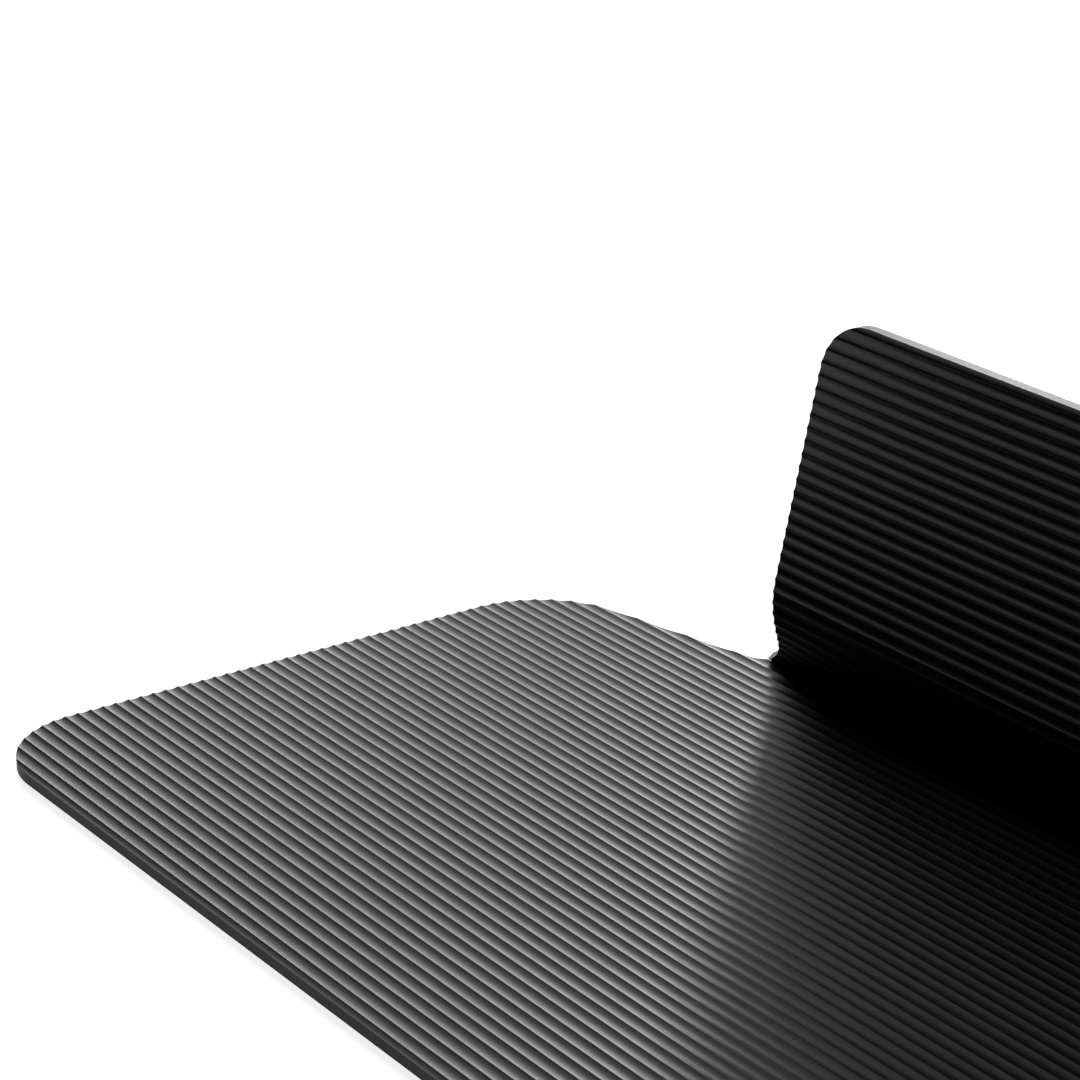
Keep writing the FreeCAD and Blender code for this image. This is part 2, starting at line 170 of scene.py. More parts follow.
def add_node(tree: NodeTree, kind: str, **values: object) -> Node:
    """Adds a node and sets its properties and unlinked inputs.

    Args:
        tree: The node tree that gets the node.
        kind: The node's type name.
        **values: Properties of the node, or values of inputs whose names hold them in lower case.

    Returns:
        The new node.
    """
    node = tree.nodes.new(kind)
    for key, value in values.items():
        if hasattr(node, key):
            setattr(node, key, value)
        else:
            name = key.replace("_", " ").title()
            node.inputs[name].default_value = value
    return node


def build_effect(effect: Effect, detail: float, roughness: float, low: float, high: float) -> None:
    """Builds the group of a shared effect: noise as a height, and as a factor around one.

    Args:
        effect: The effect that names the group.
        detail: The noise's detail.
        roughness: The noise's roughness.
        low: The noise value that counts as the darkest.
        high: The noise value that counts as the lightest.
    """
    tree = bpy.data.node_groups.new(effect.value, "ShaderNodeTree")
    tree.interface.new_socket("Vector", in_out="INPUT", socket_type="NodeSocketVector")
    numbers = (("Scale", "INPUT"), ("Amount", "INPUT"), ("Height", "OUTPUT"), ("Factor", "OUTPUT"))
    for name, way in numbers:
        tree.interface.new_socket(name, in_out=way, socket_type="NodeSocketFloat")
    source = tree.nodes.new("NodeGroupInput")
    sink = tree.nodes.new("NodeGroupOutput")
    noise = add_node(tree, "ShaderNodeTexNoise", detail=detail, roughness=roughness)
    spread = add_node(tree, "ShaderNodeMapRange", from_min=low, from_max=high, to_min=-1.0, to_max=1.0)
    factor = add_node(tree, "ShaderNodeMath", operation="MULTIPLY_ADD")
    factor.inputs[2].default_value = 1.0
    tree.links.new(source.outputs["Vector"], noise.inputs["Vector"])
    tree.links.new(source.outputs["Scale"], noise.inputs["Scale"])
    tree.links.new(noise.outputs["Fac"], spread.inputs["Value"])
    tree.links.new(spread.outputs["Result"], factor.inputs[0])
    tree.links.new(source.outputs["Amount"], factor.inputs[1])
    tree.links.new(noise.outputs["Fac"], sink.inputs["Height"])
    tree.links.new(factor.outputs["Value"], sink.inputs["Factor"])


@dataclass(frozen=True)
class Finish:
    """A solid finish with fine grain and handling marks in its colour, roughness and relief.

    Colours are linear, and grain_scale and mark_scale are in cycles per metre.
    """

    name: str
    color: tuple[float, float, float]
    roughness: float
    metallic: float = 0.0
    ior: float = 1.5
    grain_scale: float = 4000.0
    grain_color: float = 0.15
    grain_height: float = 0.02
    mark_scale: float = 14.0
    mark_amount: float = 0.06
    stretch: tuple[float, float, float] = (1.0, 1.0, 1.0)

    def material(self) -> Material:
        """Gives the finish's material, built on first use.

        Returns:
            The material.
        """
        existing = bpy.data.materials.get(self.name)
        if existing is not None:
            return existing
        material = bpy.data.materials.new(self.name)
        material.use_nodes = True
        tree = material.node_tree
        shader = tree.nodes["Principled BSDF"]
        shader.inputs["Metallic"].default_value = self.metallic
        shader.inputs["IOR"].default_value = self.ior
        place = tree.nodes.new("ShaderNodeTexCoord")
        mapping = tree.nodes.new("ShaderNodeMapping")
        mapping.inputs["Scale"].default_value = self.stretch
        tree.links.new(place.outputs["Object"], mapping.inputs["Vector"])
        grain = self.effect(tree, Effect.GRAIN, self.grain_scale, self.grain_color)
        marks = self.effect(tree, Effect.HANDLING, self.mark_scale, self.mark_amount)
        for group in (grain, marks):
            tree.links.new(mapping.outputs["Vector"], group.inputs["Vector"])
        tint = add_node(tree, "ShaderNodeVectorMath", operation="SCALE")
        tint.inputs[0].default_value = self.color
        tree.links.new(grain.outputs["Factor"], tint.inputs["Scale"])
        tree.links.new(tint.outputs["Vector"], shader.inputs["Base Color"])
        rough = add_node(tree, "ShaderNodeMath", operation="MULTIPLY", use_clamp=True)
        rough.inputs[1].default_value = self.roughness
        tree.links.new(marks.outputs["Factor"], rough.inputs[0])
        tree.links.new(rough.outputs["Value"], shader.inputs["Roughness"])
        bump = add_node(tree, "ShaderNodeBump")
        bump.inputs["Strength"].default_value = 1.0
        bump.inputs["Distance"].default_value = self.grain_height * MM
        tree.links.new(grain.outputs["Height"], bump.inputs["Height"])
        tree.links.new(bump.outputs["Normal"], shader.inputs["Normal"])
        return material

    @staticmethod
    def effect(tree: NodeTree, effect: Effect, scale: float, amount: float) -> Node:
        """Places one of the shared effects in the finish's tree.

        Args:
            tree: The material's tree.
            effect: The effect to place.
            scale: The effect's scale in cycles per metre.
            amount: The effect's strength.

        Returns:
            The group node.
        """
        group = tree.nodes.new("ShaderNodeGroup")
        group.node_tree = bpy.data.node_groups[effect.value]
        group.inputs["Scale"].default_value = scale
        group.inputs["Amount"].default_value = amount
        return group


BLACK = (0.0015, 0.0015, 0.0015)
FLUTED_BLACK = Finish(
    "fluted_black", BLACK, roughness=0.42, grain_scale=2200.0, grain_height=0.006, mark_amount=0.02
)
PANEL_BLACK = replace(FLUTED_BLACK, name="panel_black", roughness=0.27)
CUT_EDGE_BLACK = Finish("cut_edge_black", BLACK, roughness=0.4, ior=1.4, grain_height=0.004)
HINGE_STEEL = Finish(
    "hinge_steel", (0.19, 0.19, 0.195), roughness=0.34, metallic=1.0, stretch=(0.05, 1.0, 1.0)
)
PLATED_STEEL = Finish("plated_steel", (0.55, 0.55, 0.56), roughness=0.24, metallic=1.0)
SPRING_STEEL = Finish("spring_steel", (0.42, 0.41, 0.4), roughness=0.3, metallic=1.0)
NYLON = Finish("moulded_nylon", (0.012, 0.012, 0.012), roughness=0.5, grain_scale=2200.0)
RUBBER = Finish(
    "black_rubber", (0.014, 0.014, 0.014), roughness=0.72, grain_scale=1600.0, grain_height=0.05
)


# ---- plates ----
@dataclass(frozen=True)
class Flutes:
    """Shallow round flutes that meet in narrow crests. Rows are distances from a crest in millimetres."""

    pitch: float = 6.0 * MM
    depth: float = 0.57 * MM
    crest_round: float = 0.09 * MM
    rows: tuple[float, ...] = (0.0, 0.06, 0.16, 0.32, 0.7, 1.2, 1.8, 2.4, 3.0)

    def drop(self, along: float) -> float:
        """Tells how far the surface lies below its crests.

        Args:
            along: Distance from the middle of a flute, along the plate.

        Returns:
            The drop below the crests.
        """
        half = self.pitch / 2
        radius = (half**2 + self.depth**2) / (2 * self.depth)
        from_crest = half - abs(along - round(along / self.pitch) * self.pitch)
        soft = math.hypot(from_crest, self.crest_round) - self.crest_round
        soft *= half / (math.hypot(half, self.crest_round) - self.crest_round)
        return self.depth - radius + math.sqrt(radius**2 - (half - soft) ** 2)

    def places(self, start: float, end: float) -> list[float]:
        """Lists the places of the rows between two lengths along the plate.

        Args:
            start: The first length.
            end: The last length.

        Returns:
            The places in rising order.
        """
        found: list[float] = []
        crest = (math.floor(start / self.pitch) - 0.5) * self.pitch
        while crest < end + self.pitch:
            for row in self.rows:
                found += [crest - row * MM, crest + row * MM]
            crest += self.pitch
        return sorted({round(place, 7) for place in found if start < place < end})


@dataclass(frozen=True)
class BoardForm:
    """Sizes of both plates, laid out flat with y from the platform's front edge."""

    width: float = 600.0 * MM
    side: float = 285.6 * MM
    shoulder_angle: float = 12.0
    front_radius: float = 42.0 * MM
    rear_radius: float = 48.0 * MM
    crease: float = 315.0 * MM
    panel_length: float = 186.0 * MM
    root_width: float = 310.0 * MM
    taper: float = 14.9
    neck_radius: float = 66.0 * MM
    top_radius: float = 32.0 * MM
    thickness: float = 5.1 * MM
    arc_steps: int = 24

    def corners(self) -> list[tuple[Vector, float]]:
        """Lists the right half's corners from the front edge to the panel's top, with their radii.

        Returns:
            Pairs of a corner and its radius.
        """
        half = self.width / 2
        root = self.root_width / 2
        taper = math.tan(math.radians(self.taper))
        slope = math.tan(math.radians(self.shoulder_angle))
        neck_x = (root + taper * (self.crease - self.side - slope * half)) / (1 - taper * slope)
        neck_y = self.side + slope * (half - neck_x)
        top = self.crease + self.panel_length
        return [
            (Vector((half, 0, 0)), self.front_radius),
            (Vector((half, self.side, 0)), self.rear_radius),
            (Vector((neck_x, neck_y, 0)), self.neck_radius),
            (Vector((root - taper * self.panel_length, top, 0)), self.top_radius),
        ]

    def outline(self, mesh: BMesh) -> None:
        """Makes one flat face of the whole board's outline, each corner spun about its centre.

        Args:
            mesh: The empty mesh that gets the face.
        """
        right = self.corners()
        left = [(Vector((-corner.x, corner.y, 0)), radius) for corner, radius in reversed(right)]
        corners = right + left
        chains: list[list[BMVert]] = []
        for index, (corner, radius) in enumerate(corners):
            before = corners[index - 1][0]
            after = corners[(index + 1) % len(corners)][0]
            chains.append(self.round_corner(mesh, before, corner, after, radius))
        for index, chain in enumerate(chains):
            mesh.edges.new((chain[-1], chains[(index + 1) % len(chains)][0]))
        bmesh.ops.contextual_create(mesh, geom=mesh.edges[:])

    def round_corner(
        self, mesh: BMesh, before: Vector, corner: Vector, after: Vector, radius: float
    ) -> list[BMVert]:
        """Spins a vertex round one corner of the outline.

        Args:
            mesh: The mesh that gets the arc.
            before: The corner before this one.
            corner: The corner to round.
            after: The corner after this one.
            radius: The arc's radius.

        Returns:
            The arc's vertices in order.
        """
        to_before = (before - corner).normalized()
        to_after = (after - corner).normalized()
        half_angle = to_before.angle(to_after) / 2
        start = corner + to_before * radius / math.tan(half_angle)
        centre = corner + (to_before + to_after).normalized() * radius / math.sin(half_angle)
        turn = math.pi - 2 * half_angle
        if to_before.cross(to_after).z > 0:
            turn = -turn
        first = mesh.verts.new(start)
        known = set(mesh.verts)
        bmesh.ops.spin(mesh, geom=[first], cent=centre, axis=(0, 0, 1), angle=turn, steps=self.arc_steps)
        added = [vertex for vertex in mesh.verts if vertex not in known]
        return [first] + sorted(added, key=lambda vertex: (vertex.co - start).length)


@dataclass(frozen=True)
class HingeForm:
    """Where the hinge lies in the plates, as setbacks from its axis and heights towards the flutes."""

    mitre_angle: float = 27.0
    mitre_gap: float = 0.02 * MM
    nose_land: float = 1.0 * MM
    bevel_end: float = 9.0 * MM
    knuckle_radius: float = 3.2 * MM
    knuckle_clearance: float = 0.3 * MM
    leaf_thickness: float = 1.2 * MM
    leaf_width: float = 27.15 * MM
    pocket_length: float = 288.0 * MM
    crease_angle: float = 54.0

    def setback(self, thickness: float) -> float:
        """Gives the distance from the crease to the axis along a plate.

        Args:
            thickness: The plates' thickness.

        Returns:
            The distance.
        """
        return thickness / 2 / math.tan(math.radians(self.mitre_angle))


def platform_corner() -> Vector:
    """Finds the flat layout's origin, in the middle of the platform's front edge at its crests.

    Returns:
        The origin.
    """
    low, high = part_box("platform_plate")
    return Vector((0, low.y, high.z))


@dataclass
class FlutedPlate:
    """One of the two plates, modelled flat as a closed solid and then put in its place.

    side is 1 if the plate lies before the crease and -1 if beyond it, and its flutes are counted from
    the valley.
    """

    name: str
    node: str
    body: str
    side: int
    valley: float
    board: BoardForm = field(default_factory=BoardForm)
    hinge: HingeForm = field(default_factory=HingeForm)
    flutes: Flutes = field(default_factory=Flutes)
    edge_break: float = 0.18 * MM
    edge_steps: int = 3
    cut_face_tilt: float = 0.8
    wall_tilt: float = 0.1
    row_gap: float = 0.01 * MM
    sharp_from: float = 50.0
    face_finish: Finish = FLUTED_BLACK
    origin: Vector = field(default_factory=platform_corner)

    def place(self, flat: Vector) -> Vector:
        """Finds where a point of the flat plate lies in the frame.

        Args:
            flat: The point in the flat layout.

        Returns:
            The point in the frame.
        """
        raise NotImplementedError

    def root_y(self, setback: float) -> float:
        """Finds a setback from the hinge's axis in the flat layout.

        Args:
            setback: The setback.

        Returns:
            The flat place.
        """
        return self.board.crease + self.side * (self.hinge.setback(self.board.thickness) - setback)

    def build(self) -> Object:
        """Builds the plate and puts it on its body.

        Returns:
            The plate's object.
        """
        mesh = bmesh.new()
        self.board.outline(mesh)
        self.keep_own_half(mesh)
        self.cut_rows(mesh)
        self.thicken(mesh)
        self.cut_root(mesh)
        bmesh.ops.recalc_face_normals(mesh, faces=mesh.faces[:])
        piece = to_object(mesh, self.name)
        self.cut_pocket(piece)
        self.break_edges(piece)
        self.finish_faces(piece)
        for vertex in piece.data.vertices:
            vertex.co = self.place(vertex.co)
        smooth_shading(piece, self.sharp_from)
        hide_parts(self.node)
        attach(piece, self.body)
        return piece

    def cut(self, mesh: BMesh, point: Vector, outward: Vector) -> None:
        """Cuts off what lies beyond a plane, and closes the cut if the mesh was closed.

        Args:
            mesh: The mesh to cut.
            point: A point on the plane.
            outward: The plane's normal, towards what goes.
        """
        closed = all(len(edge.link_faces) == 2 for edge in mesh.edges)
        everything = mesh.verts[:] + mesh.edges[:] + mesh.faces[:]
        bmesh.ops.bisect_plane(
            mesh, geom=everything, dist=MERGE_DISTANCE, plane_co=point, plane_no=outward, clear_outer=True
        )
        if closed:
            rim = [edge for edge in mesh.edges if len(edge.link_faces) == 1]
            bmesh.ops.holes_fill(mesh, edges=rim, sides=0)

    def keep_own_half(self, mesh: BMesh) -> None:
        """Cuts the flat outline off at the plate's nose, beyond the crease.

        Args:
            mesh: The flat outline.
        """
        nose = Vector((0, self.root_y(self.hinge.nose_land), 0))
        self.cut(mesh, nose, Vector((0, self.side, 0)))

    def cut_rows(self, mesh: BMesh) -> None:
        """Divides the flat face along every row of the flutes and through every outline vertex.

        Args:
            mesh: The flat outline.
        """
        lengths = [vertex.co.y for vertex in mesh.verts]
        start = min(lengths)
        end = max(lengths)
        places = self.flutes.places(start - self.valley, end - self.valley)
        rows = [self.valley + place for place in places] + lengths
        previous = start
        for row in sorted(set(rows)):
            if min(row - previous, end - row) < self.row_gap:
                continue
            previous = row
            crossed = [face for face in mesh.faces if max(vertex.co.y for vertex in face.verts) > row]
            parts = set(crossed)
            for face in crossed:
                parts.update(face.edges)
                parts.update(face.verts)
            bmesh.ops.bisect_plane(
                mesh, geom=list(parts), dist=MERGE_DISTANCE, plane_co=(0, row, 0), plane_no=(0, 1, 0)
            )

    def thicken(self, mesh: BMesh) -> None:
        """Extrudes the flat face down to the plate's thickness and sinks its flutes.

        Args:
            mesh: The flat face, divided into rows.
        """
        sheet = mesh.faces[:]
        made = bmesh.ops.extrude_face_region(mesh, geom=sheet, use_keep_orig=True)["geom"]
        lower = [part for part in made if isinstance(part, BMVert)]
        upper = [vertex for face in sheet for vertex in face.verts]
        bmesh.ops.translate(mesh, verts=lower, vec=(0, 0, -self.board.thickness))
        for vertex in set(upper):
            vertex.co.z = -self.flutes.drop(vertex.co.y - self.valley)

    def cut_root(self, mesh: BMesh) -> None:
        """Cuts the mitre on top of the nose and the bevel beneath it.

        Args:
            mesh: The closed flat plate.
        """
        mitre = math.radians(self.hinge.mitre_angle)
        outward = Vector((0, self.side * math.sin(mitre), math.cos(mitre)))
        crease = Vector((0, self.board.crease, 0)) - outward * self.hinge.mitre_gap
        self.cut(mesh, crease, outward)
        slope = self.board.thickness / 2 / self.hinge.bevel_end
        heel = Vector((0, self.root_y(self.hinge.bevel_end), -self.board.thickness))
        self.cut(mesh, heel, Vector((0, self.side * slope, -1)).normalized())

    def break_edges(self, piece: Object) -> None:
        """Rounds the arrises between the side wall and the two faces.

        Args:
            piece: The flat plate.
        """
        mesh = bmesh.new()
        mesh.from_mesh(piece.data)
        rims = [edge for edge in mesh.edges if self.is_rim(edge)]
        round_edges(mesh, rims, self.edge_break, self.edge_steps)
        mesh.to_mesh(piece.data)
        mesh.free()

    def is_rim(self, edge: BMEdge) -> bool:
        """Tells whether an edge lies between the side wall and a face, away from the root's cuts.

        Args:
            edge: The edge.

        Returns:
            True for such an edge.
        """
        steep = [abs(face.normal.z) < self.wall_tilt for face in edge.link_faces]
        at_root = any((vertex.co.y - self.board.crease) * self.side > 0 for vertex in edge.verts)
        pocket = self.hinge.pocket_length / 2 + self.edge_break
        in_pocket = all(abs(vertex.co.x) < pocket for vertex in edge.verts)
        near = (edge.verts[0].co.y - self.root_y(2 * self.hinge.leaf_width)) * self.side > 0
        return steep.count(True) == 1 and not at_root and not (in_pocket and near)

    def finish_faces(self, piece: Object) -> None:
        """Gives the two faces one finish, and all walls and rounded arrises the other.

        Args:
            piece: The flat plate.
        """
        piece.data.materials.clear()
        piece.data.materials.append(self.face_finish.material())
        piece.data.materials.append(CUT_EDGE_BLACK.material())
        for face in piece.data.polygons:
            face.material_index = 1 if abs(face.normal.z) < self.cut_face_tilt else 0

    def cut_pocket(self, piece: Object) -> None:
        """Lets the pocket for knuckles and leaf into the underside of the root.

        Args:
            piece: The flat plate.
        """
        hinge = self.hinge
        half = self.board.thickness / 2
        ceiling = hinge.leaf_thickness - half
        nose = hinge.knuckle_radius + hinge.knuckle_clearance
        edge = hinge.knuckle_radius + 2 * hinge.knuckle_clearance
        beyond = self.board.thickness
        section = [
            (nose, beyond),
            (nose, hinge.leaf_thickness / 2),
            (edge, hinge.leaf_thickness / 2),
            (hinge.bevel_end, ceiling),
            (hinge.leaf_width, ceiling),
            (hinge.leaf_width, -beyond),
            (-beyond, -beyond),
            (-beyond, beyond),
        ]
        tool = bmesh.new()
        corners = [(self.root_y(setback), height - half) for setback, height in section]
        extrude_section(tool, corners, hinge.pocket_length)
        bmesh.ops.recalc_face_normals(tool, faces=tool.faces[:])
        cutter = to_object(tool, "pocket_tool")
        modifier = piece.modifiers.new("pocket", "BOOLEAN")
        modifier.operation = "DIFFERENCE"
        modifier.solver = "EXACT"
        modifier.object = cutter
        apply_modifiers(piece)
        bpy.data.objects.remove(cutter)


def apply_modifiers(piece: Object) -> None:
    """Replaces an object's mesh by what its modifiers make of it.

    Args:
        piece: The object, whose modifiers are removed.
    """
    shown = piece.evaluated_get(bpy.context.evaluated_depsgraph_get())
    data = bpy.data.meshes.new_from_object(shown)
    data.name = piece.data.name
    piece.modifiers.clear()
    piece.data = data


@dataclass
class Platform(FlutedPlate):
    """The plate that lies on the floor."""

    name: str = "platform"
    node: str = "platform_plate"
    body: str = "platform"
    side: int = 1
    valley: float = 0.0

    def place(self, flat: Vector) -> Vector:
        """Moves a point of the flat plate to the platform's place and level.

        Args:
            flat: The point in the flat layout.

        Returns:
            The point in the frame.
        """
        return flat + self.origin


@dataclass
class BackPanel(FlutedPlate):
    """The plate that is bent up from the hinge: flange, large bend and upright."""

    name: str = "panel"
    node: str = "back_panel"
    body: str = "panel"
    side: int = -1
    valley: float = BoardForm.crease
    face_finish: Finish = PANEL_BLACK
    flange: float = 25.2 * MM
    bend_radius: float = 60.6 * MM
    bend_angle: float = 36.0
    half_width: float = field(default_factory=lambda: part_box("back_panel")[1].x)

    def place(self, flat: Vector) -> Vector:
        """Bends a point of the flat plate along flange, bend and upright.

        Args:
            flat: The point in the flat layout.

        Returns:
            The point in the frame.
        """
        length = flat.y - self.board.crease
        depth = -flat.z
        rise = math.radians(180.0 - self.hinge.crease_angle)
        facing = math.radians(270.0 - self.hinge.crease_angle)
        along = Vector((0, math.cos(rise), math.sin(rise)))
        out = Vector((0, math.cos(facing), math.sin(facing)))
        crease = self.origin + Vector((0, self.board.crease, 0))
        if length <= self.flange:
            point = crease + along * length - out * depth
        else:
            centre = crease + along * self.flange - out * self.bend_radius
            turned = (length - self.flange) / self.bend_radius
            if turned <= math.radians(self.bend_angle):
                angle = facing - turned
                reach = self.bend_radius - depth
                point = centre + Vector((0, math.cos(angle), math.sin(angle))) * reach
            else:
                height = length - self.flange - self.bend_radius * math.radians(self.bend_angle)
                point = centre + Vector((0, depth - self.bend_radius, height))
        across = min(max(flat.x, -self.half_width), self.half_width)
        return Vector((across, point.y, point.z))


# ---- small parts ----
@dataclass
class SmallPart:
    """A part that stands for one CAD node: one form, modelled along Z, at each of its places."""

    name: str
    node: str
    body: str
    slot: str
    finish: Finish
    ease: float = 0.12 * MM
    ease_steps: int = 2
    ease_from: float = 32.0
    turn_steps: int = 32

    def model(self, mesh: BMesh) -> None:
        """Models the form once.

        Args:
            mesh: The empty mesh that gets the form.
        """
        raise NotImplementedError

    def places(self) -> list[Matrix]:
        """Says where the form stands, by default once in the middle of its CAD node.

        Returns:
            One matrix for each place.
        """
        return [Matrix.Translation(node_middle(self.node))]

    def span(self) -> Vector:
        """Measures the CAD node's box.

        Returns:
            Its lengths.
        """
        low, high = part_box(self.node)
        return high - low

    def build(self) -> Object:
        """Builds the part at all its places and puts it on its body.

        Returns:
            The part's object.
        """
        whole = bpy.data.meshes.new("form")
        gathered = bmesh.new()
        for place in self.places():
            form = bmesh.new()
            self.model(form)
            bmesh.ops.recalc_face_normals(form, faces=form.faces[:])
            self.ease_edges(form)
            form.transform(place)
            form.to_mesh(whole)
            form.free()
            gathered.from_mesh(whole)
        bpy.data.meshes.remove(whole)
        piece = to_object(gathered, self.name)
        piece.data.materials.append(self.finish.material())
        smooth_shading(piece, self.ease_from)
        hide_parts(self.node)
        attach(piece, self.body)
        return piece

    def ease_edges(self, mesh: BMesh) -> None:
        """Rounds every edge that turns more than a little.

        Args:
            mesh: The form.
        """
        limit = math.radians(self.ease_from)
        sharp = [edge for edge in mesh.edges if edge.calc_face_angle(0.0) > limit]
        round_edges(mesh, sharp, self.ease, self.ease_steps)

    def turn(self, mesh: BMesh, profile: list[tuple[float, float]], closed: bool = False) -> None:
        """Turns a profile of radii and heights once round Z.

        Args:
            mesh: The mesh that gets the form.
            profile: Radii and heights in order.
            closed: True if the last point joins the first.
        """
        ring = [mesh.verts.new((radius, 0, height)) for radius, height in profile]
        edges = [mesh.edges.new(pair) for pair in zip(ring, ring[1:])]
        if closed:
            edges.append(mesh.edges.new((ring[-1], ring[0])))
        bmesh.ops.spin(
            mesh,
            geom=ring + edges,
            cent=(0, 0, 0),
            axis=(0, 0, 1),
            angle=math.tau,
            steps=self.turn_steps,
            use_merge=True,
        )
        bmesh.ops.remove_doubles(mesh, verts=mesh.verts[:], dist=MERGE_DISTANCE)

    def sink_socket(self, mesh: BMesh, flats: float, height: float, bottom: float) -> None:
        """Closes the open end of a turned form with a six-sided socket.

        Args:
            mesh: The form, with one open rim.
            flats: Distance across the socket's flats.
            height: Height of the rim.
            bottom: Height of the socket's bottom.
        """
        rim = [edge for edge in mesh.edges if edge.is_boundary]
        centre = Matrix.Translation(Z_AXIS * height)
        bmesh.ops.create_circle(mesh, segments=6, radius=flats / math.sqrt(3), matrix=centre)
        mouth = [edge for edge in mesh.edges if edge.is_wire]
        bmesh.ops.triangle_fill(mesh, use_beauty=True, edges=rim + mouth, normal=(0, 0, 1))
        made = bmesh.ops.extrude_edge_only(mesh, edges=mouth)["geom"]
        lower = [part for part in made if isinstance(part, BMVert)]
        bmesh.ops.translate(mesh, verts=lower, vec=(0, 0, bottom - height))
        bmesh.ops.contextual_create(mesh, geom=[edge for edge in mesh.edges if edge.is_boundary])


@dataclass
class LeafScrews(SmallPart):
    """Countersunk socket screws in a row through a leaf into its plate."""

    plate: FlutedPlate = field(default_factory=Platform)
    setback: float = 18.0 * MM
    pitch: float = 110.0 * MM
    head: float = 3.4 * MM
    shank: float = 2.1 * MM
    head_depth: float = 1.2 * MM
    length: float = 3.4 * MM
    socket_rim: float = 1.9 * MM
    socket_flats: float = 2.5 * MM
    socket_depth: float = 1.1 * MM
    ease: float = 0.06 * MM

    def model(self, mesh: BMesh) -> None:
        """Models one screw, with its head at the origin and its shank up Z.

        Args:
            mesh: The empty mesh.
        """
        profile = [
            (self.socket_rim, 0.0),
            (self.head, 0.0),
            (self.shank, self.head_depth),
            (self.shank, self.length),
            (0.0, self.length),
        ]
        self.turn(mesh, profile)
        self.sink_socket(mesh, self.socket_flats, 0.0, self.socket_depth)

    def places(self) -> list[Matrix]:
        """Sets the screws into the plate's underside, at equal steps along the hinge.

        Returns:
            One matrix for each place.
        """
        found = []
        along = self.plate.root_y(self.setback)
        thickness = self.plate.board.thickness
        for step in (-1, 0, 1):
            head = Vector((step * self.pitch, along, -thickness))
            base = self.plate.place(head)
            inward = self.plate.place(head + Z_AXIS * thickness / 2) - base
            found.append(stand(base, inward.normalized()))
        return found


@dataclass
class FootPart(SmallPart):
    """A part that both feet have."""

    seat: float = 1.8 * MM

    def places(self) -> list[Matrix]:
        """Sets the part on the axis of each foot, at the height of the washer's underside.

        Returns:
            One matrix for each place.
        """
        found = []
        for foot in ("foot_left", "foot_right"):
            middle = node_middle(foot)
            found.append(Matrix.Translation((middle.x, middle.y, self.seat)))
        return found


@dataclass
class FootScrews(FootPart):
    """Pan head socket screws up through the feet."""

    head: float = 2.8 * MM
    shank: float = 1.5 * MM
    head_height: float = 1.4 * MM
    length: float = 4.7 * MM
    crown: tuple[tuple[float, float], ...] = ((0.78, 1.0), (0.93, 0.86), (1.0, 0.6))
    socket_flats: float = 2.0 * MM
    socket_depth: float = 0.8 * MM

    def model(self, mesh: BMesh) -> None:
        """Models one screw, with the underside of its head at the origin and its shank up Z.

        Args:
            mesh: The empty mesh.
        """
        profile = [(self.head / 2, -self.head_height)]
        profile += [(self.head * radius, -self.head_height * height) for radius, height in self.crown]
        profile += [(self.head, 0.0), (self.shank, 0.0), (self.shank, self.length), (0.0, self.length)]
        self.turn(mesh, profile)
        self.sink_socket(mesh, self.socket_flats, -self.head_height, self.socket_depth - self.head_height)


@dataclass
class FootWashers(FootPart):
    """Flat washers on the seats of the feet."""

    bore: float = 1.5 * MM
    rim: float = 4.0 * MM
    thickness: float = 0.6 * MM

    def model(self, mesh: BMesh) -> None:
        """Models one washer, with its underside at the origin.

        Args:
            mesh: The empty mesh.
        """
        top = self.thickness
        self.turn(mesh, [(self.bore, 0.0), (self.rim, 0.0), (self.rim, top), (self.bore, top)], closed=True)


@dataclass
class Foot(SmallPart):
    """Round rubber foot with a recess for its washer and screw."""

    bore: float = 1.5 * MM
    recess: float = 4.4 * MM
    recess_depth: float = 2.4 * MM
    ease: float = 0.35 * MM
    ease_steps: int = 3
    turn_steps: int = 48

    def model(self, mesh: BMesh) -> None:
        """Models the foot about the origin.

        Args:
            mesh: The empty mesh.
        """
        rim = self.span().x / 2
        half = self.span().z / 2
        profile = [
            (self.bore, half),
            (rim, half),
            (rim, -half),
            (self.recess, -half),
            (self.recess, self.recess_depth - half),
            (self.bore, self.recess_depth - half),
        ]
        self.turn(mesh, profile, closed=True)


@dataclass
class GripStrip(SmallPart):
    """Long rubber strip with two grooves along its tread."""

    groove_width: float = 2.0 * MM
    groove_depth: float = 0.8 * MM
    ease: float = 0.25 * MM
    ease_steps: int = 3

    def model(self, mesh: BMesh) -> None:
        """Models the strip about the origin.

        Args:
            mesh: The empty mesh.
        """
        span = self.span()
        edge = span.y / 2
        tread = -span.z / 2
        floor = tread + self.groove_depth
        rib = (span.y - 2 * self.groove_width) / 3
        section = [(-edge, span.z / 2), (-edge, tread)]
        for near in (rib - edge, edge - rib - self.groove_width):
            far = near + self.groove_width
            section += [(near, tread), (near, floor), (far, floor), (far, tread)]
        section += [(edge, tread), (edge, span.z / 2)]
        extrude_section(mesh, section, span.x)


@dataclass
class TipStrip(SmallPart):
    """Rubber strip with a slanted underside on the panel's back."""

    slant: float = 1.0 * MM
    ease: float = 0.3 * MM
    ease_steps: int = 3

    def model(self, mesh: BMesh) -> None:
        """Models the strip about the origin.

        Args:
            mesh: The empty mesh.
        """
        span = self.span()
        y = span.y / 2
        z = span.z / 2
        extrude_section(mesh, [(-y, -z), (y, self.slant - z), (y, z), (-y, z)], span.x)


